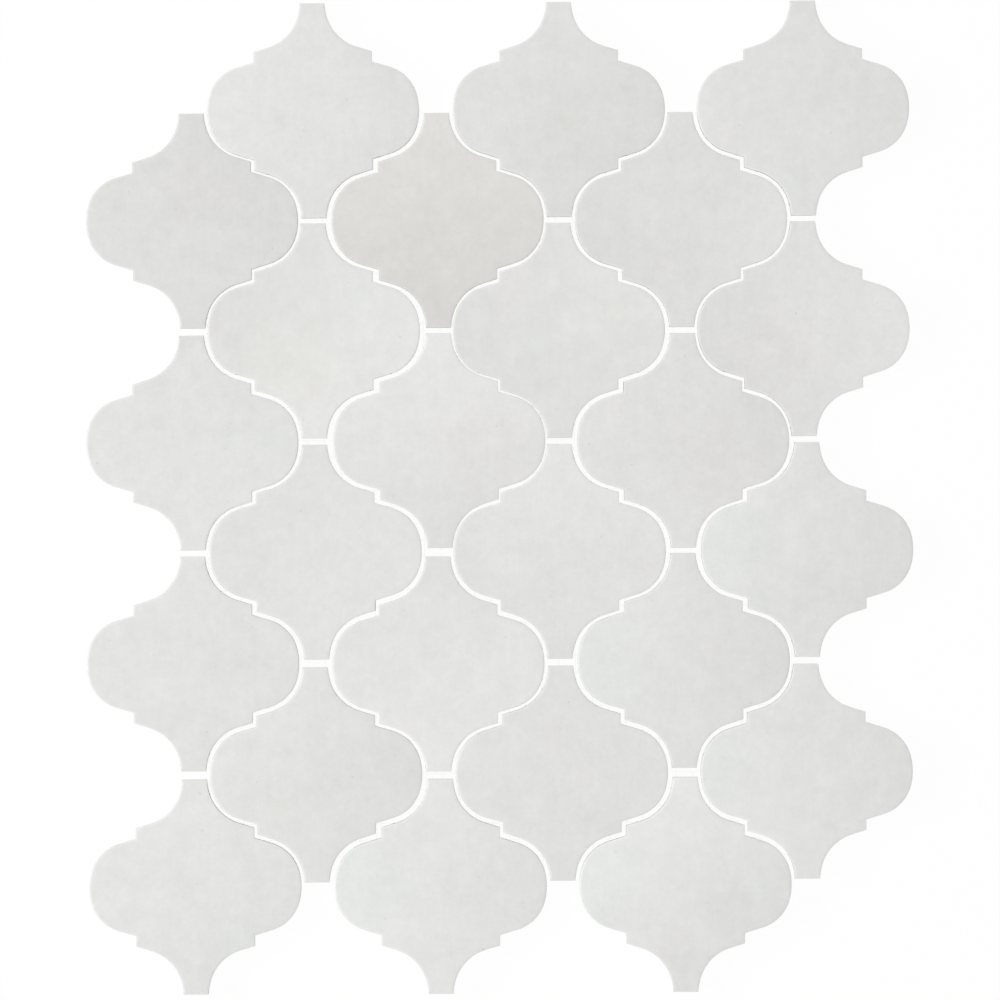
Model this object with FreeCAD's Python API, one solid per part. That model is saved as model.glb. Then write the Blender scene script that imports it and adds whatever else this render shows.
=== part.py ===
"""An arabesque mosaic sheet: glazed ceramic lantern tiles in staggered rows, bonded to a glass-fibre net.

Each tile is a flat pressed lantern: two round lobes at its sides, two flat-ended necks at its top and bottom,
and a small square step at each shoulder. A neck's hollow flank follows the next tile's lobe at the width of
the joint, so one outline fills the sheet. The sheet lies face up. X runs along its rows, Y up its columns,
and Z = 0 is the net's underside, which goes into the adhesive. All sizes are in millimetres.
"""

import FreeCAD
import Part
import math
import os
import random

Vector = FreeCAD.Vector

# The pattern: rows of tiles, every other row half a pitch to the side.
rows = 8
columns = 3
curve_joint = 1.25        # open joint along lobes, flanks and steps
neck_joint = 2.1          # open joint between two neck ends

# The outline of one tile: each side lobe is two curves and a straight run, each tangent to the next.
tile_width = 63.6         # from lobe tip to lobe tip
tile_length = 64.4        # from neck end to neck end
neck_width = 7.4          # across a neck where two lobes pass closest to it
step_height = 3.1         # of the small step at each shoulder
tip_radius = 17.4         # the flatter curve round a lobe's tip
tip_half_angle = 15.8     # degrees from the X axis to the end of the tip curve
haunch_end_angle = 73.0   # degrees from the X axis to the end of the haunch, where the run to the step starts

# Through the thickness.
tile_thickness = 8.0
net_thickness = 0.5
net_trim = 6.0            # from the straight line between neck and lobe in to the net's cut edge

# Tiles are set by hand in a ribbed tray, so each sits a little off its place.
tray_rib = 0.3            # the least joint that a rib keeps between two tiles
set_turn = 0.25           # furthest a tile is turned, in degrees
set_seed = 73160

row_pitch_x = tile_width + 2 * curve_joint + neck_width
column_pitch_y = tile_length + neck_joint
neighbour = Vector(row_pitch_x / 2, column_pitch_y / 2, 0)
lobe_reach = tile_width / 2
step_x = (neighbour.x - curve_joint) / 2
neck_end_y = tile_length / 2
tip_end = math.radians(tip_half_angle)
haunch_end = math.radians(haunch_end_angle)
set_play = (curve_joint - tray_rib) / 2

# The shoulder is where a lobe's straight run meets the step. Two shoulders face each other across the joint.
shoulder_y = (neighbour.y - step_height - curve_joint * math.tan(haunch_end / 2)) / 2


def on_circle(centre, radius, angle):
    """The point of a circle at an angle from the X axis."""
    return centre + Vector(radius * math.cos(angle), radius * math.sin(angle), 0)


def three_points(centre, radius, start, end):
    """Start, middle and end of an arc."""
    return [on_circle(centre, radius, angle) for angle in (start, (start + end) / 2, end)]


def haunch_radius(tip):
    """Radius of the haunch that is tangent to the tip curve and to the straight run through the shoulder."""
    across_run = (step_x - tip.x) * math.cos(haunch_end) + shoulder_y * math.sin(haunch_end)
    bend = math.cos(haunch_end - tip_end)
    return (across_run - tip_radius * bend) / (1 - bend)


def beside_step(point):
    """Where the straight run that passes through a point meets the step."""
    return Vector(step_x, point.y + (point.x - step_x) / math.tan(haunch_end), 0)


def quarter_outline():
    """Arcs and lines from the lobe's tip to the neck's end, in the quarter where X and Y are positive."""
    tip = Vector(lobe_reach - tip_radius, 0, 0)
    radius = haunch_radius(tip)
    haunch = on_circle(tip, tip_radius - radius, tip_end)
    lobe_tip = three_points(tip, tip_radius, 0, tip_end)
    lobe_haunch = three_points(haunch, radius, tip_end, haunch_end)
    lobe_run = [lobe_haunch[-1], beside_step(lobe_haunch[-1])]

    # The flank is the next tile's lobe, seen from this side and one joint further out.
    tip, haunch = neighbour - tip, neighbour - haunch
    flank_radius = tip_radius + curve_joint
    neck_end = math.pi + math.asin((neighbour.y - neck_end_y) / flank_radius)
    flank_tip = three_points(tip, flank_radius, math.pi + tip_end, neck_end)
    flank_haunch = three_points(haunch, radius + curve_joint, math.pi + haunch_end, math.pi + tip_end)
    flank_run = [beside_step(flank_haunch[0]), flank_haunch[0]]
    step = [lobe_run[-1], flank_run[0]]
    return [lobe_tip, lobe_haunch, lobe_run, step, flank_run, flank_haunch, flank_tip]


def lantern_face():
    """The tile's outline as a face, the same in all four quarters."""
    quarter = quarter_outline()
    edges = []
    for sign_y in (1, -1):
        for sign_x in (1, -1):
            for points in quarter:
                points = [Vector(sign_x * p.x, sign_y * p.y, 0) for p in points]
                curve = Part.LineSegment(*points) if len(points) == 2 else Part.Arc(*points)
                edges.append(curve.toShape())
        neck_x = quarter[-1][-1].x
        ends = [Vector(side * neck_x, sign_y * neck_end_y, 0) for side in (-1, 1)]
        edges.append(Part.LineSegment(*ends).toShape())
    return Part.Face(Part.Wire(Part.__sortEdges__(edges)))


def lantern_tile():
    """One tile, centred on the Z axis, its back on Z = 0."""
    return lantern_face().extrude(Vector(0, 0, tile_thickness))


def tile_places():
    """Name and place of each tile by the pattern, row 1 at the top and column 1 at the left."""
    places = []
    for row in range(rows):
        shift = 0.5 if row % 2 == 0 else 0.0
        for column in range(columns):
            x = (column + shift - (columns - 0.5) / 2) * row_pitch_x
            y = ((rows - 1) / 2 - row) * column_pitch_y / 2
            places.append((f"tile_row{row + 1}_col{column + 1}", Vector(x, y, 0)))
    return places


def backing_net():
    """The net as a plain sheet. Straight cuts between necks and lobes outline the field, and are trimmed in."""
    neck_x = (neighbour.x - lobe_reach) / 2
    lobe_x = (neighbour.x + lobe_reach) / 2
    corners = [(neck_x, neighbour.y), (lobe_x, 0), (neck_x, -neighbour.y)]
    corners = corners + [(-x, -y) for x, y in corners]
    cells = []
    for _, place in tile_places():
        loop = [place + Vector(x, y, 0) for x, y in corners]
        cells.append(Part.Face(Part.makePolygon(loop + loop[:1])))
    field = cells[0].multiFuse(cells[1:]).removeSplitter()
    trimmed = field.Faces[0].makeOffset2D(-net_trim, join=2)
    return trimmed.extrude(Vector(0, 0, net_thickness))


def hand_set(tile, place, chance):
    """A copy of the tile on the net, a little off its place as the hand set it."""
    off_place = set_play * math.sqrt(chance.random())
    offset = on_circle(Vector(0, 0, net_thickness), off_place, chance.uniform(0, 2 * math.pi))
    turn = FreeCAD.Rotation(Vector(0, 0, 1), chance.uniform(-set_turn, set_turn))
    moved = tile.copy()
    moved.Placement = FreeCAD.Placement(place + offset, turn)
    return moved


def whole_sheet():
    """Every piece by name, with the sheet's outline centred on the Z axis."""
    tile = lantern_tile()
    chance = random.Random(set_seed)
    pieces = {name: hand_set(tile, place, chance) for name, place in tile_places()}
    pieces["backing_net"] = backing_net()
    box = Part.makeCompound(list(pieces.values())).BoundBox
    to_centre = Vector(-(box.XMin + box.XMax) / 2, -(box.YMin + box.YMax) / 2, 0)
    for piece in pieces.values():
        piece.translate(to_centre)
    return pieces


os.makedirs("parts", exist_ok=True)
for name, piece in whole_sheet().items():
    piece.exportStep(f"parts/{name}.step")
    print(name, "volume %.1f" % piece.Volume, "solids", len(piece.Solids), "valid", piece.isValid())
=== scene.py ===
"""Looks of the arabesque mosaic sheet.

Each tile gets a rim that rolls down under its glaze and a grooved back, and the plain net sheet is replaced
by a woven net of glass yarns. Sizes are metres in the part's own frame: the sheet lies face up, with row 1
towards +Y.
"""

import bisect
import math
import random

import bmesh
import bpy
from mathutils import Matrix, Vector


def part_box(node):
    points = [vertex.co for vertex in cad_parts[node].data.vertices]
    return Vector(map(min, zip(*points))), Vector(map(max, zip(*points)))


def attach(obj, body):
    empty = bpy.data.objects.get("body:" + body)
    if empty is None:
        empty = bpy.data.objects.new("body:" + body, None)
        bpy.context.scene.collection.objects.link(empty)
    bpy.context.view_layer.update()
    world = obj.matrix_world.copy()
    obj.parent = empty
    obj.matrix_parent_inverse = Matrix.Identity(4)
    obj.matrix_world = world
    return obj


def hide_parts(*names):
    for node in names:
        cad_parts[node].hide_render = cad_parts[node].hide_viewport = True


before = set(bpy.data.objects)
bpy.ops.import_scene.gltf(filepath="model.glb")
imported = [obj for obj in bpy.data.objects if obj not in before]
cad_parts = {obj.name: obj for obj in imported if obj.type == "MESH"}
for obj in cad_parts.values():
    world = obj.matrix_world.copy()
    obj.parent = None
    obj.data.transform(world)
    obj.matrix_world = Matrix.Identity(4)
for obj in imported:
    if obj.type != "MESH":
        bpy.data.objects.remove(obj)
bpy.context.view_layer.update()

MM = 0.001

# The tile, as pressed and glazed.
CUSHION = 1.00 * MM              # width of the glazed rim that rolls down from the flat face
CUSHION_DROP = 0.27 * MM         # from the flat face to where the rim meets the side
CUSHION_STEPS = 6
BACK_EDGE = 0.35 * MM            # softening of the pressed back's edge
GROOVE_PITCH = 6.0 * MM
GROOVE_WIDTH = 3.0 * MM
GROOVE_DEPTH = 0.45 * MM
GROOVE_ROWS = 9
GROOVE_RIM = 3.0 * MM            # from a groove's end out to the tile's side
GROOVE_END = 0.48                # radius of a groove's end, as a share of its width
GROOVE_END_STEPS = 4
TILE_SMOOTH = 38                 # degrees up to which an edge is shaded smooth

# The firing.
FIRING_SEED = 27
LEVEL = 0.0106                   # change of the glaze's tone that shows as one step in 255 of the picture
SHADE_SPREAD = 0.6               # spread of the tiles' shades, in steps
LEAN_X = (-0.013, 0.083)         # mean and spread of a tile's lean in tone, in steps for each mm
LEAN_Y = (0.016, 0.080)
PATTERNS = 100                   # each tile draws the seed of its own mottling from this range

# The glaze.
GLAZE_WHITE = (0.7635, 0.765, 0.7485, 1)
GLAZE_WARM = (0.7195, 0.708, 0.682, 1)
CLOUD_STRENGTH = 0.05            # change of tone over the whole range of the noise, as for the next three
MOTTLE_STRENGTH = 0.24
STREAK_STRENGTH = 0.05
TINT_STRENGTH = 0.052
RIM_PAINTED_LIGHT = 0.065                # painted light: added to the tone on the rim and the glazed side below it, which lifts their shade
BLUSH_STRENGTH = 0.35            # share of their full colour that blushes have where they fall by chance
BLUSH_RAGGED = 30 * MM           # by which the noise moves a placed blush's edge in all
BLUSH_SOFT = 15 * MM             # from a placed blush's edge in to its full colour
SPECK_CELL = 14 * MM             # each such square holds one speck at most
SPECK_CORE = 0.008               # radii of a speck's dark core and soft edge, as shares of the cell
SPECK_EDGE = 0.032
CELLS_WITHOUT = 0.55             # share of the cells that hold none
SPECK_STRENGTH = 0.30            # share of the full brown
SPECK_BROWN = (0.38, 0.35, 0.31, 1)
GLAZE_ROUGHNESS = (0.30, 0.40)
GLAZE_IOR = 1.5
ORANGE_PEEL = 0.03 * MM          # height of the slow waves in the glaze
GLAZE_STEP = 0.06 * MM           # down to the body, where the glaze ends
GLAZE_RUN = 1.9 * MM             # how far the glaze runs down the side
GLAZE_WAVER = 2.4 * MM           # by which the noise moves the glaze's end in all

# The fired body under the glaze.
BODY_PALE = (0.80, 0.775, 0.725)
GRAIN_STRENGTH = 0.14
STAIN_STRENGTH = 0.10
BODY_ROUGHNESS = 0.85
BODY_GRIT = 0.10 * MM            # height of the grain

# The woven net.
MESH = 5.0 * MM                  # from yarn to yarn
YARN_WIDTH = 0.32 * MM
YARN_SIDES = 6
YARN_SMOOTH = 70                 # degrees, as for the tile
SHORTEST_YARN = 6.0 * MM         # a shorter bit would be held by no crossing
STRAND_WIDTH = 0.07 * MM
STRAND_LENGTH = 3 * MM           # along which a strand keeps its tone
STRAND_DEPTH = 0.03 * MM
ADHESIVE_WHITE = (0.90, 0.90, 0.885)
ADHESIVE_ROUGHNESS = (0.45, 0.65)
GLASS_CLEAR = (0.99, 0.99, 0.985)
GLASS_ROUGHNESS = (0.08, 0.20)
GLASS_IOR = 1.03                 # strands and air together bend light little

# What counts as the same, or as level, when a mesh is read.
WELD = 0.001 * MM                # between the corners of triangles that meet
YARN_WELD = 0.01 * MM            # between the ends of two lengths of yarn
FLAT_WITHIN = 0.4                # degrees between the triangles of one flat face
SAME_LEVEL = 0.1 * MM
SAME_END = 0.25 * MM             # along the tile, between the corners of one neck end
NEAR_CROSSING = 0.1 * MESH
LEVEL_FACE = 0.9                 # least Z of a level face's normal
UPRIGHT_FACE = 0.1               # greatest Z of an upright face's normal

# The photograph's frame.
CAMERA_HEIGHT = 10.0             # above the tiles' faces
CAMERA_RANGE = (0.1, 50)         # nearest and farthest that it sees
FRAME_WIDTH = 299.8 * MM         # that the picture spans at the tiles' faces
PICTURE_CENTRE = (0.17 * MM, -0.65 * MM)
PICTURE_TURN = 0.35              # degrees that the sheet lies turned to the left

# Light, as shares of what a level white surface receives.
SUN_SHARE = 0.54
BOX_SHARE = 0.22
FILL_SHARE = 0.235
SUN_TOWARD = (-0.018, 0.008, 1)
SUN_SPAN = 4                     # degrees, which softens its shadows
BOX_PLACE = (-1.60, 0.04, 1.24)
BOX_SIZE = 0.9

# The floor.
FLOOR_SIZE = 30
FLOOR_LEVEL = -0.01 * MM         # just clear of the net's underside
FLOOR_GLOW = 0.92                # share of the floor's white that no shadow takes away
FLOOR_GREY = (0.80, 0.80, 0.80, 1)
WHITE = (1, 1, 1, 1)


def only(*objects):
    """Selects these objects alone, the first one active."""
    bpy.ops.object.select_all(action="DESELECT")
    for item in objects:
        item.select_set(True)
    bpy.context.view_layer.objects.active = objects[0]


def select(kind, wanted):
    """In edit mode, selects the faces, edges or points (FACE, EDGE or VERT) for which wanted is true."""
    bpy.ops.mesh.select_mode(type=kind)
    mesh = bpy.context.edit_object.data
    edited = bmesh.from_edit_mesh(mesh)
    for item in {"FACE": edited.faces, "EDGE": edited.edges, "VERT": edited.verts}[kind]:
        item.select_set(wanted(item))
    edited.select_flush_mode()
    bmesh.update_edit_mesh(mesh)


def merged_copy(node, name):
    """A copy of a CAD node with its loose triangles merged back to flat faces."""
    copy = bpy.data.objects.new(name, node.data.copy())
    bpy.context.collection.objects.link(copy)
    copy.data.materials.clear()
    only(copy)
    bpy.ops.object.mode_set(mode="EDIT")
    bpy.ops.mesh.select_all(action="SELECT")
    bpy.ops.mesh.remove_doubles(threshold=WELD)
    bpy.ops.mesh.dissolve_limited(angle_limit=math.radians(FLAT_WITHIN))
    bpy.ops.object.mode_set(mode="OBJECT")
    return copy


# Tiles

def tile_names():
    """The CAD nodes that are tiles, in order."""
    return sorted(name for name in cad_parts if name.startswith("tile_"))


def tile_place(mesh):
    """Where a tile lies and how it is turned, from the corners of its two neck ends."""
    points = sorted((point.co for point in mesh.vertices), key=lambda p: p.y)
    corners = {}
    for side, ordered in ((-1, points), (1, points[::-1])):
        end = [p for p in ordered if abs(p.y - ordered[0].y) < SAME_END]
        corners[side] = sum((p.xy for p in end), Vector((0, 0))) / len(end)
    centre = (corners[-1] + corners[1]) / 2
    up = corners[1] - corners[-1]
    turn = math.atan2(-up.x, up.y)
    return Matrix.Translation((centre.x, centre.y, 0)) @ Matrix.Rotation(turn, 4, "Z")


def half_width(mesh, y):
    """From a tile's middle line out to its side at this place along it, read off its outline."""
    widest = 0
    for edge in mesh.edges:
        a, b = (mesh.vertices[i].co for i in edge.vertices)
        if abs(a.z - b.z) < SAME_LEVEL and min(a.y, b.y) <= y <= max(a.y, b.y) and a.y != b.y:
            widest = max(widest, a.x + (b.x - a.x) * (y - a.y) / (b.y - a.y))
    return widest


def groove_bar(y, half_length, back):
    """A round-ended bar across the tile's back, as deep in it as the groove that it cuts."""
    bpy.ops.object.select_all(action="DESELECT")
    bpy.ops.mesh.primitive_cube_add(size=1, location=(0, y, back),
                                    scale=(2 * half_length, GROOVE_WIDTH, 2 * GROOVE_DEPTH))
    bar = bpy.context.object
    bpy.ops.object.transform_apply(location=True, rotation=True, scale=True)
    bpy.ops.object.mode_set(mode="EDIT")
    select("EDGE", lambda edge: abs(edge.verts[0].co.z - edge.verts[1].co.z) > GROOVE_DEPTH)
    bpy.ops.mesh.bevel(offset=GROOVE_WIDTH * GROOVE_END, segments=GROOVE_END_STEPS, affect="EDGES")
    bpy.ops.object.mode_set(mode="OBJECT")
    return bar


def groove_cutter(mesh, back):
    """The bars for all the grooves as one, each as long as the tile is wide there, less its rims."""
    bars = []
    for row in range(GROOVE_ROWS):
        y = (row - (GROOVE_ROWS - 1) / 2) * GROOVE_PITCH
        narrowest = min(half_width(mesh, y + at * GROOVE_WIDTH / 2) for at in (-1, 0, 1))
        bars.append(groove_bar(y, narrowest - GROOVE_RIM, back))
    only(*bars)
    bpy.ops.object.join()
    return bars[0]


def roll_rim_down(face):
    """In edit mode, rounds the edge of the tile's face and flattens the round to a low cushion."""
    select("FACE", lambda item: item.normal.z > LEVEL_FACE)
    bpy.ops.mesh.region_to_loop()
    bpy.ops.mesh.bevel(offset=CUSHION, segments=CUSHION_STEPS, profile=0.5, affect="EDGES")
    select("VERT", lambda point: point.co.z > face - CUSHION - SAME_LEVEL)
    bpy.ops.transform.resize(value=(1, 1, CUSHION_DROP / CUSHION), center_override=(0, 0, face))


def soften_back():
    """In edit mode, takes the sharpness off the edge of the tile's back."""
    select("FACE", lambda item: item.normal.z < -LEVEL_FACE)
    bpy.ops.mesh.region_to_loop()
    bpy.ops.mesh.bevel(offset=BACK_EDGE, segments=1, affect="EDGES")


def tile_master():
    """One tile at the sheet's centre, unturned, with its rim, its soft back edge and its grooves."""
    tile = merged_copy(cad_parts["tile_row1_col1"], "tile_master")
    tile.data.transform(tile_place(tile.data).inverted())
    heights = [point.co.z for point in tile.data.vertices]
    back, face = min(heights), max(heights)
    cutter = groove_cutter(tile.data, back)

    only(tile)
    bpy.ops.object.mode_set(mode="EDIT")
    roll_rim_down(face)
    soften_back()
    bpy.ops.object.mode_set(mode="OBJECT")

    cut = tile.modifiers.new("grooves", "BOOLEAN")
    cut.operation, cut.object, cut.solver = "DIFFERENCE", cutter, "EXACT"
    bpy.ops.object.modifier_apply(modifier=cut.name)
    bpy.data.objects.remove(cutter)
    only(tile)
    bpy.ops.object.shade_smooth_by_angle(angle=math.radians(TILE_SMOOTH))
    even = tile.modifiers.new("flat_face_shading", "WEIGHTED_NORMAL")
    even.keep_sharp = True
    bpy.ops.object.modifier_apply(modifier=even.name)

    own = tile.data.attributes.new("on_tile", "FLOAT_VECTOR", "POINT")
    own.data.foreach_set("vector", [x for point in tile.data.vertices for x in point.co])
    return tile


# How single tiles came out of the kiln: paler or darker in steps, warmer, or leaning in tone from side to
# side. The rest differ by chance.
FIRED = {
    "tile_row2_col2": {"shade": 0.0, "warmth": 1.0, "lean_x": 0.0, "lean_y": 0.14},
    "tile_row1_col2": {"shade": -3.0},
    "tile_row1_col3": {"shade": -0.8},
    "tile_row2_col1": {"shade": -6.0},
    "tile_row4_col3": {"shade": -1.2},
    "tile_row3_col1": {"shade": 0.4},
    "tile_row6_col2": {"shade": 2.0},
    "tile_row5_col3": {"lean_x": -0.12},
    "tile_row6_col3": {"lean_x": -0.14},
    "tile_row7_col3": {"lean_x": -0.13},
    "tile_row8_col2": {"lean_x": -0.12},
    "tile_row8_col3": {"shade": 1.6, "lean_x": -0.14},
}

# Where single tiles took on colour: which, its place from the tile's middle and how far it reaches, in mm.
BLUSHES = {
    "tile_row2_col1": ("pink", 3, 12, 17),
    "tile_row3_col1": ("olive", -8, -10, 18),
    "tile_row3_col2": ("pink", -16, 12, 12),
    "tile_row3_col3": ("pink", -8, -9, 20),
    "tile_row4_col2": ("pink", 14, -5, 17),
    "tile_row4_col3": ("pink", 9, -6, 19),
    "tile_row5_col3": ("green", -27, 0, 20),
    "tile_row6_col3": ("green", -27, 0, 22),
    "tile_row7_col3": ("green", -28, 0, 19),
    "tile_row8_col2": ("green", -26, 0, 22),
    "tile_row8_col3": ("green", -27, 0, 20),
}
BLUSH_COLOURS = {"pink": (1.004, 0.983, 0.989, 1), "olive": (0.999, 1.003, 0.982, 1),
                 "green": (0.988, 1.012, 1.003, 1)}
NO_BLUSH = (None, 0, 0, 0)
NOWHERE = (0, 0, -1)             # a spot that reaches less than nothing


def mark_points(mesh, name, kind, numbers):
    """Gives every point of a mesh the same numbers, under the name by which its material reads them."""
    own = mesh.attributes.new(name, kind, "POINT")
    field = {"FLOAT": "value", "FLOAT_VECTOR": "vector"}[kind]
    own.data.foreach_set(field, numbers * len(mesh.vertices))


def glazed_tiles(glaze):
    """A copy of the master on each tile of the sheet, with its own firing."""
    master = tile_master()
    chance = random.Random(FIRING_SEED)
    for name in tile_names():
        fired = {"shade": chance.gauss(0, SHADE_SPREAD), "warmth": 0.0,
                 "batch": chance.uniform(0, PATTERNS),
                 "lean_x": chance.gauss(*LEAN_X), "lean_y": chance.gauss(*LEAN_Y)}
        fired.update(FIRED.get(name, {}))
        tile = bpy.data.objects.new("glazed_" + name, master.data.copy())
        bpy.context.collection.objects.link(tile)
        tile.data.transform(tile_place(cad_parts[name].data))
        for key, value in fired.items():
            mark_points(tile.data, key, "FLOAT", [value])
        blush, *place = BLUSHES.get(name, NO_BLUSH)
        for colour in BLUSH_COLOURS:
            spot = [length * MM for length in place] if colour == blush else list(NOWHERE)
            mark_points(tile.data, colour, "FLOAT_VECTOR", spot)
        tile.data.materials.append(glaze)
        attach(tile, "root")
        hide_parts(name)
    bpy.data.objects.remove(master)


# Net

def net_outline():
    """Corners of the CAD net's cut edge in order, and the heights of its underside and top."""
    flat = merged_copy(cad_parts["backing_net"], "net_outline")
    mesh = flat.data
    top = max(mesh.polygons, key=lambda p: (p.normal.z > LEVEL_FACE) * p.area)
    corners = [mesh.vertices[i].co.xy for i in top.vertices]
    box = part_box("backing_net")
    bpy.data.objects.remove(flat)
    return corners, box[0].z, box[1].z


def yarn_wave(bottom, top):
    """Two meshes of a flat yarn along Y, which goes over at its ends and under in its middle."""
    middle, thickness = (bottom + top) / 2, (top - bottom) / 2
    bpy.ops.object.select_all(action="DESELECT")
    bpy.ops.mesh.primitive_cylinder_add(vertices=YARN_SIDES, radius=0.5, depth=2 * MESH,
                                        end_fill_type="NOTHING", rotation=(math.pi / 2, 0, 0))
    yarn = bpy.context.object
    bpy.ops.object.transform_apply(location=False, rotation=True, scale=False)
    wide = max(abs(point.co.x) for point in yarn.data.vertices)
    thick = max(abs(point.co.z) for point in yarn.data.vertices)
    yarn.scale = (YARN_WIDTH / 2 / wide, 1, thickness / 2 / thick)
    yarn.location = (0, MESH, middle)
    bpy.ops.object.transform_apply(location=True, rotation=False, scale=True)
    bpy.ops.object.mode_set(mode="EDIT")
    for at in (0.5, 1.0, 1.5):
        bpy.ops.mesh.select_all(action="SELECT")
        bpy.ops.mesh.bisect(plane_co=(0, at * MESH, 0), plane_no=(0, 1, 0))
    for crossing, rise in ((0, 1), (1, -1), (2, 1)):
        select("VERT", lambda point: abs(point.co.y - crossing * MESH) < NEAR_CROSSING)
        bpy.ops.transform.translate(value=(0, 0, rise * thickness / 2))
    bpy.ops.object.mode_set(mode="OBJECT")
    return yarn


def long_yarn(bottom, top, half_length):
    """The wave repeated along Y, centred, past this length each way."""
    yarn = yarn_wave(bottom, top)
    run = yarn.modifiers.new("run", "ARRAY")
    run.count = 2 * math.ceil(half_length / (2 * MESH)) + 2
    run.use_relative_offset, run.use_constant_offset = False, True
    run.constant_offset_displace = (0, 2 * MESH, 0)
    run.use_merge_vertices, run.merge_threshold = True, YARN_WELD
    bpy.ops.object.modifier_apply(modifier=run.name)
    length = max(point.co.y for point in yarn.data.vertices)
    yarn.data.transform(Matrix.Translation((0, -length / 2, 0)))
    return yarn


def tile_sides():
    """The two ends of every side face of the tiles, seen from above."""
    sides = []
    for mesh in (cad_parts[name].data for name in tile_names()):
        points = [point.co for point in mesh.vertices]
        middle = sum(p.z for p in points) / len(points)
        for face in mesh.polygons:
            ends = [points[i].xy for i in face.vertices if points[i].z > middle]
            if abs(face.normal.z) < UPRIGHT_FACE and len(ends) == 2:
                sides.append(ends)
    return sides


def turned(sides, turn):
    """These sides, turned about the sheet's centre."""
    return [[(turn @ end.to_3d()).xy for end in ends] for ends in sides]


def cuts_at(sides, x):
    """Where the line at X = x crosses these sides, in order, each with the side's normal."""
    cuts = []
    for a, b in sides:
        if (a.x - x) * (b.x - x) < 0:
            y = a.y + (b.y - a.y) * (x - a.x) / (b.x - a.x)
            along = (b - a).normalized()
            cuts.append((y, Vector((along.y, -along.x, 0))))
    return sorted(cuts, key=lambda cut: cut[0])


def yarn_piece(yarn, x, shift, start, end, edges):
    """A copy of the yarn at X = x, cut off at start and end and divided at the edges of tiles."""
    piece = bpy.data.objects.new("yarn", yarn.data.copy())
    bpy.context.collection.objects.link(piece)
    piece.data.transform(Matrix.Translation((x, shift, 0)))
    only(piece)
    bpy.ops.object.mode_set(mode="EDIT")
    for y, normal in (start, end):
        away = normal if normal.y * (y - (start[0] + end[0]) / 2) > 0 else -normal
        bpy.ops.mesh.select_all(action="SELECT")
        bpy.ops.mesh.bisect(plane_co=(x, y, 0), plane_no=away, use_fill=True, clear_outer=True)
    for y in edges:
        if start[0] < y < end[0]:
            bpy.ops.mesh.select_all(action="SELECT")
            bpy.ops.mesh.bisect(plane_co=(x, y, 0), plane_no=(0, 1, 0))
    bpy.ops.object.mode_set(mode="OBJECT")
    return piece


def lay_yarns(yarn, outline, sides, phase, bonded, bare, turn):
    """Copies of the yarn at every mesh, bonded under the tiles and bare in the joints, then turned."""
    outline, sides = turned(outline, turn.inverted()), turned(sides, turn.inverted())
    reach = max(abs(p.x) for ends in outline for p in ends)
    count = int(reach / MESH) + 1
    laid = []
    for line in range(-count, count + 1):
        x = (line + 0.5) * MESH
        cuts = cuts_at(outline, x)
        edges = [y for y, _ in cuts_at(sides, x)]
        for start, end in zip(cuts[::2], cuts[1::2]):
            if end[0] - start[0] < SHORTEST_YARN:
                continue
            piece = yarn_piece(yarn, x, ((line + phase) % 2) * MESH, start, end, edges)
            piece.data.materials.append(bonded)
            piece.data.materials.append(bare)
            for face in piece.data.polygons:
                under_tile = bisect.bisect(edges, face.center.y) % 2 == 1
                face.material_index = 0 if under_tile else 1
            piece.data.transform(turn)
            laid.append(piece)
    return laid


def woven_net(warp_look, weft_look, bare_look):
    """The net, cut as the CAD net is: warp yarns along Y and weft yarns along X, over and under in turn."""
    corners, bottom, top = net_outline()
    outline = list(zip(corners, corners[1:] + corners[:1]))
    sides = tile_sides()
    yarn = long_yarn(bottom, top, max(max(abs(p.x), abs(p.y)) for p in corners))
    along_x = Matrix.Rotation(-math.pi / 2, 4, "Z")
    yarns = lay_yarns(yarn, outline, sides, 0, warp_look, bare_look, Matrix.Identity(4))
    yarns += lay_yarns(yarn, outline, sides, 1, weft_look, bare_look, along_x)
    bpy.data.objects.remove(yarn)
    only(*yarns)
    bpy.ops.object.join()
    net = yarns[0]
    net.name = "woven_net"
    bpy.ops.object.shade_smooth_by_angle(angle=math.radians(YARN_SMOOTH))
    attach(net, "root")
    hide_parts("backing_net")


# Materials

class NodeTree:
    """Short ways to add a tree's nodes. An input is a number, a colour or another node's socket."""

    def __init__(self, tree):
        self.tree = tree

    def put(self, sockets, inputs):
        """Sets or links each of these inputs, by its name or number."""
        for key, value in inputs.items():
            if isinstance(value, bpy.types.NodeSocket):
                self.tree.links.new(value, sockets[key])
            else:
                sockets[key].default_value = value

    def node(self, kind, inputs=None, out=0, **settings):
        made = self.tree.nodes.new(kind)
        for key, value in settings.items():
            setattr(made, key, value)
        self.put(made.inputs, inputs or {})
        return made.outputs[out]

    def math(self, operation, a, b=0.0, c=0.0):
        return self.node("ShaderNodeMath", {0: a, 1: b, 2: c}, operation=operation)

    def vector_math(self, operation, a, b, c=(0, 0, 0), out=0):
        return self.node("ShaderNodeVectorMath", {0: a, 1: b, 2: c}, out=out, operation=operation)

    def ramp(self, value, low, high, start=0.0, end=1.0):
        return self.node("ShaderNodeMapRange", {"Value": value, "From Min": low, "From Max": high,
                                                "To Min": start, "To Max": end})

    def mixed(self, share, first, second):
        """Two shaders mixed, with this share of the second."""
        return self.node("ShaderNodeMixShader", {0: share, 1: first, 2: second})


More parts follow.
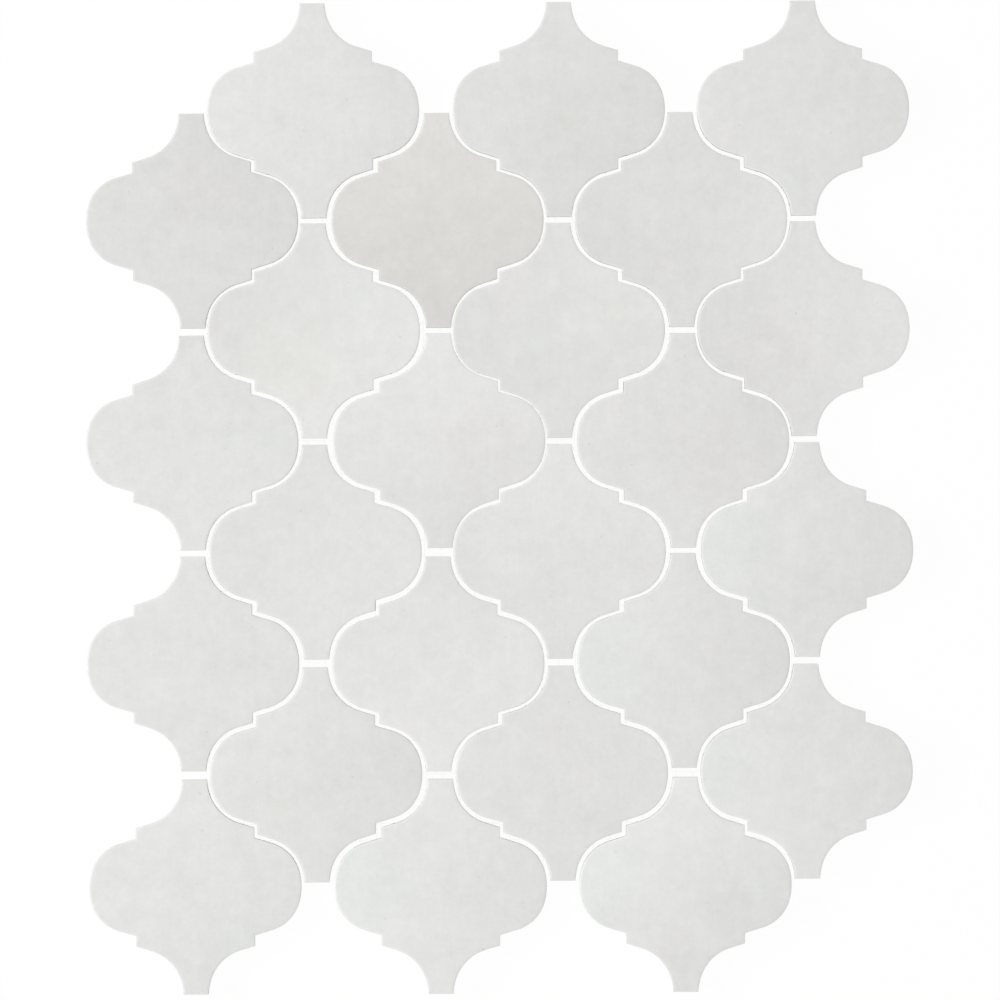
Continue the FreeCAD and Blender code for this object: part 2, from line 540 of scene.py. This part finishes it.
class Look(NodeTree):
    """A material of the object itself."""

    def __init__(self, name):
        self.material = bpy.data.materials.new(name)
        self.material.use_nodes = True
        super().__init__(self.material.node_tree)

    def finished(self, inputs):
        """The material, with these inputs on its shader."""
        self.put(self.tree.nodes["Principled BSDF"].inputs, inputs)
        return self.material

    def here(self):
        return self.node("ShaderNodeTexCoord", out="Object")

    def own(self, name, out="Fac"):
        """What the surface's own attribute of this name says here."""
        return self.node("ShaderNodeAttribute", out=out, attribute_name=name)

    def axis(self, vector, name):
        return self.node("ShaderNodeSeparateXYZ", {0: vector}, out=name)

    def on_tile(self, name):
        """Where a point is on its own tile, from the tile's middle, along this axis."""
        return self.axis(self.own("on_tile", out="Vector"), name)

    def stretched(self, scale):
        return self.node("ShaderNodeMapping", {"Vector": self.here(), "Scale": scale})

    def noise(self, size, detail=2.0, seed=0.0, vector=None, roughness=0.5):
        """Noise centred on 0, with features of about this size in metres."""
        inputs = {"Vector": vector or self.here(), "W": seed, "Scale": 1 / size, "Detail": detail,
                  "Roughness": roughness}
        raw = self.node("ShaderNodeTexNoise", inputs, noise_dimensions="4D")
        return self.math("SUBTRACT", raw, 0.5)

    def blend(self, share, a, b, kind="MIX"):
        made = self.tree.nodes.new("ShaderNodeMix")
        made.data_type, made.blend_type = "RGBA", kind
        self.put(made.inputs, {0: share, 6: a, 7: b})
        return made.outputs[2]

    def tinted(self, colour, tint, share):
        """The colour, with this share of it multiplied by the tint."""
        return self.blend(share, colour, self.blend(1.0, colour, tint, "MULTIPLY"))

    def times(self, colour, factor):
        return self.node("ShaderNodeVectorMath", {0: colour, "Scale": factor}, operation="SCALE")

    def bump(self, height):
        return self.node("ShaderNodeBump", {"Height": height, "Strength": 1.0, "Distance": 1.0})


def fired_tone(look, batch, rim):
    """The glaze's tone: it leans from side to side of a tile, with mottling, streaks and a rim made paler
    by painted light.
    """
    lean_x = look.math("MULTIPLY", look.on_tile("X"), look.own("lean_x"))
    lean = look.math("MULTIPLY_ADD", look.on_tile("Y"), look.own("lean_y"), lean_x)
    levels = look.math("MULTIPLY_ADD", lean, 1 / MM, look.own("shade"))
    tone = look.math("MULTIPLY_ADD", levels, LEVEL, 1.0)
    cloud = look.noise(34 * MM, detail=0.5, seed=batch)
    mottle = look.noise(9 * MM, detail=4.0, seed=batch, roughness=0.95)
    streak = look.noise(1.0, detail=2.0, seed=batch, vector=look.stretched((700, 60, 1)), roughness=0.8)
    for part, strength in ((cloud, CLOUD_STRENGTH), (mottle, MOTTLE_STRENGTH), (streak, STREAK_STRENGTH),
                           (rim, RIM_PAINTED_LIGHT)):
        tone = look.math("MULTIPLY_ADD", part, strength, tone)
    return tone


def faintly_coloured(look, batch, glaze):
    """The glaze with faint colour in its mottling."""
    tint = look.node("ShaderNodeTexNoise", {"Vector": look.here(), "W": batch, "Scale": 1 / (13 * MM),
                                            "Detail": 4.0, "Roughness": 0.95}, out=1, noise_dimensions="4D")
    tint = look.vector_math("SUBTRACT", tint, (0.5, 0.5, 0.5))
    tint = look.vector_math("MULTIPLY_ADD", tint, (TINT_STRENGTH,) * 3, (1, 1, 1))
    return look.blend(1.0, glaze, tint, "MULTIPLY")


def blushed_by_chance(look, batch, glaze):
    """The glaze with blushes wherever they fall, pink in some places and green in others."""
    hue = look.ramp(look.noise(45 * MM, detail=0.0, seed=look.math("ADD", batch, 31)), -0.05, 0.05)
    blush = look.blend(hue, BLUSH_COLOURS["pink"], BLUSH_COLOURS["green"])
    where = look.ramp(look.noise(16 * MM, detail=1.0, seed=look.math("ADD", batch, 57)), 0.06, 0.20)
    return look.tinted(glaze, blush, look.math("MULTIPLY", where, BLUSH_STRENGTH))


def blush_spot(look, batch, colour):
    """1 inside a tile's blush of this colour and 0 outside it, with a ragged soft edge."""
    centre, point = (look.vector_math("MULTIPLY", look.own(name, out="Vector"), (1, 1, 0))
                     for name in (colour, "on_tile"))
    distance = look.vector_math("DISTANCE", centre, point, out="Value")
    reach = look.axis(look.own(colour, out="Vector"), "Z")
    ragged = look.noise(7 * MM, detail=4.0, seed=batch, roughness=0.8)
    inside = look.math("MULTIPLY_ADD", ragged, BLUSH_RAGGED, look.math("SUBTRACT", reach, distance))
    patchy = look.ramp(look.noise(5 * MM, detail=2.0, seed=batch), -0.12, 0.12, 0.45, 1.15)
    return look.math("MULTIPLY", look.ramp(inside, 0.0, BLUSH_SOFT), patchy)


def specked(look, batch, glaze):
    """The glaze with a few soft pin specks, each a fraction of a millimetre."""
    spread = look.vector_math("ADD", look.here(), batch)
    distance, drawn = (look.node("ShaderNodeTexVoronoi", {"Vector": spread, "Scale": 1 / SPECK_CELL},
                                 out=out, voronoi_dimensions="2D") for out in ("Distance", "Color"))
    dark = look.ramp(look.node("ShaderNodeSeparateColor", {0: drawn}), CELLS_WITHOUT, 1.0)
    speck = look.math("MULTIPLY", look.ramp(distance, SPECK_CORE, SPECK_EDGE, 1.0, 0.0), dark)
    return look.blend(look.math("MULTIPLY", speck, SPECK_STRENGTH), glaze, SPECK_BROWN)


def glaze_colour(look, batch, height, face_height):
    """The glaze's colour all over a tile, with painted light that makes its rim paler."""
    # Painted light: below the flat face, on the rim and the glazed side, the tone is made paler to lift
    # their shade.
    rim = look.ramp(height, face_height - 0.02 * MM, face_height - 0.11 * MM)
    base = look.blend(look.own("warmth"), GLAZE_WHITE, GLAZE_WARM)
    glaze = look.times(base, fired_tone(look, batch, rim))
    glaze = blushed_by_chance(look, batch, faintly_coloured(look, batch, glaze))
    for name, colour in BLUSH_COLOURS.items():
        glaze = look.tinted(glaze, colour, blush_spot(look, batch, name))
    return specked(look, batch, glaze)


def body_colour(look, batch, grain):
    """The pressed body's colour: pale, grainy and a little stained."""
    stain = look.noise(14 * MM, detail=2.0, seed=batch)
    tone = look.math("MULTIPLY_ADD", stain, STAIN_STRENGTH, 1.0)
    tone = look.math("MULTIPLY_ADD", grain, GRAIN_STRENGTH, tone)
    return look.times(BODY_PALE, tone)


def white_glaze(face_height):
    """Off-white satin glaze over a pale pressed body, which shows low on the sides and on the back."""
    look = Look("white_glaze")
    batch = look.own("batch")
    height = look.axis(look.here(), "Z")
    grain = look.noise(1.2 * MM, detail=3.0, seed=batch, roughness=0.65)
    glaze = glaze_colour(look, batch, height, face_height)
    body = body_colour(look, batch, grain)

    # The glaze ends on the side in a wavering line.
    waver = look.noise(5 * MM, detail=2.0, seed=batch)
    line = look.math("MULTIPLY_ADD", waver, GLAZE_WAVER, face_height - GLAZE_RUN)
    glazed = look.ramp(look.math("SUBTRACT", height, line), -0.05 * MM, 0.10 * MM)

    satin = look.ramp(look.noise(6 * MM, detail=2.0, seed=batch), -0.2, 0.2, *GLAZE_ROUGHNESS)
    dry = look.ramp(glazed, 0.0, 1.0, BODY_ROUGHNESS, 0.0)

    # Relief: a slow orange peel in the glaze, grit in the body and a step between them.
    peel = look.math("MULTIPLY", look.noise(4 * MM, detail=1.0, seed=batch), ORANGE_PEEL)
    grit = look.math("MULTIPLY", grain, BODY_GRIT)
    step = look.math("MULTIPLY", glazed, GLAZE_STEP)
    surface = look.math("MULTIPLY_ADD", glazed, look.math("SUBTRACT", peel, grit), grit)
    return look.finished({"Base Color": look.blend(glazed, body, glaze),
                          "Roughness": look.math("MAXIMUM", satin, dry),
                          "IOR": GLAZE_IOR,
                          "Normal": look.bump(look.math("ADD", step, surface))})


def bonded_yarn(name, along):
    """Glass yarn soaked in the white adhesive that holds the tiles: fine strands under a milky coat."""
    look = Look(name)
    across, lengthways = 1 / STRAND_WIDTH, 1 / STRAND_LENGTH
    scale = {"X": (lengthways, across, across), "Y": (across, lengthways, across)}[along]
    strands = look.noise(1.0, detail=1.0, vector=look.stretched(scale))
    coat = look.noise(1.5 * MM, detail=2.0)
    tone = look.math("MULTIPLY_ADD", strands, 0.10, look.math("MULTIPLY_ADD", coat, 0.06, 1.0))
    return look.finished({"Base Color": look.times(ADHESIVE_WHITE, tone),
                          "Roughness": look.ramp(coat, -0.2, 0.2, *ADHESIVE_ROUGHNESS),
                          "Normal": look.bump(look.math("MULTIPLY", strands, STRAND_DEPTH))})


def bare_yarn():
    """Clear glass yarn where it spans a joint."""
    look = Look("bare_glass_yarn")
    cloudy = look.noise(1.5 * MM, detail=2.0)
    tone = look.math("MULTIPLY_ADD", cloudy, 0.04, 1.0)
    return look.finished({"Base Color": look.times(GLASS_CLEAR, tone),
                          "Roughness": look.ramp(cloudy, -0.2, 0.2, *GLASS_ROUGHNESS),
                          "Transmission Weight": 1.0,
                          "IOR": GLASS_IOR})


# Stage, light and camera

def seen_or_mirrored(nodes):
    """1 for rays that show the white ground itself: from the camera, off gloss and through clear parts."""
    path = nodes.tree.nodes.new("ShaderNodeLightPath")
    share = path.outputs["Is Camera Ray"]
    for other in ("Is Glossy Ray", "Is Transmission Ray"):
        share = nodes.math("MAXIMUM", share, path.outputs[other])
    return share


def white_ground():
    """The floor's material. Seen directly it glows nearly white, and keeps a faint shadow."""
    material = bpy.data.materials.new("white_ground")
    material.use_nodes = True
    material.node_tree.nodes.clear()
    nodes = NodeTree(material.node_tree)
    matt = nodes.node("ShaderNodeBsdfDiffuse", {"Color": FLOOR_GREY})
    pale = nodes.node("ShaderNodeBsdfDiffuse", {"Color": WHITE})
    glow = nodes.node("ShaderNodeEmission", {"Color": WHITE, "Strength": 1.0})
    seen = nodes.mixed(FLOOR_GLOW, pale, glow)
    out = nodes.tree.nodes.new("ShaderNodeOutputMaterial")
    nodes.put(out.inputs, {"Surface": nodes.mixed(seen_or_mirrored(nodes), matt, seen)})
    return material


def white_floor():
    """A white floor under the sheet."""
    bpy.ops.object.select_all(action="DESELECT")
    bpy.ops.mesh.primitive_plane_add(size=FLOOR_SIZE, location=(0, 0, FLOOR_LEVEL))
    floor = bpy.context.object
    floor.name = "floor"
    bpy.ops.object.transform_apply(location=True, rotation=True, scale=True)
    floor.data.materials.append(white_ground())


def high_sun():
    """A soft sun nearly overhead, a little to the upper left. The gloss doesn't mirror it."""
    bpy.ops.object.light_add(type="SUN")
    sun = bpy.context.object
    sun.name = "sun"
    sun.data.energy = math.pi * SUN_SHARE
    sun.data.angle = math.radians(SUN_SPAN)
    sun.rotation_euler = Vector(SUN_TOWARD).to_track_quat("Z", "Y").to_euler()
    sun.visible_glossy = False


def side_softbox():
    """A square softbox at the left, aimed at the sheet's centre."""
    place = Vector(BOX_PLACE)
    bpy.ops.object.light_add(type="AREA", location=place)
    box = bpy.context.object
    box.name = "softbox"
    box.data.shape, box.data.size = "SQUARE", BOX_SIZE
    slant = place.normalized().z
    box.data.energy = BOX_SHARE * (math.pi * place.length) ** 2 / slant
    box.rotation_euler = place.to_track_quat("Z", "Y").to_euler()


def white_room():
    """White all round, which lights the sheet less brightly than it shows."""
    world = bpy.data.worlds.new("white_room")
    bpy.context.scene.world = world
    world.use_nodes = True
    nodes = NodeTree(world.node_tree)
    strength = nodes.ramp(seen_or_mirrored(nodes), 0.0, 1.0, FILL_SHARE, 1.0)
    nodes.put(nodes.tree.nodes["Background"].inputs, {"Color": WHITE, "Strength": strength})


def overhead_camera(face_height):
    """Straight above the sheet, far off, turned as the photograph is."""
    bpy.ops.object.camera_add(location=(*PICTURE_CENTRE, face_height + CAMERA_HEIGHT),
                              rotation=(0, 0, -math.radians(PICTURE_TURN)))
    camera = bpy.context.object
    camera.data.lens = camera.data.sensor_width * CAMERA_HEIGHT / FRAME_WIDTH
    camera.data.clip_start, camera.data.clip_end = CAMERA_RANGE
    bpy.context.scene.camera = camera


face_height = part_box("tile_row1_col1")[1].z
glazed_tiles(white_glaze(face_height))
woven_net(bonded_yarn("net_warp", "Y"), bonded_yarn("net_weft", "X"), bare_yarn())
white_floor()
high_sun()
side_softbox()
white_room()
overhead_camera(face_height)
bpy.context.scene.view_settings.view_transform = "Standard"
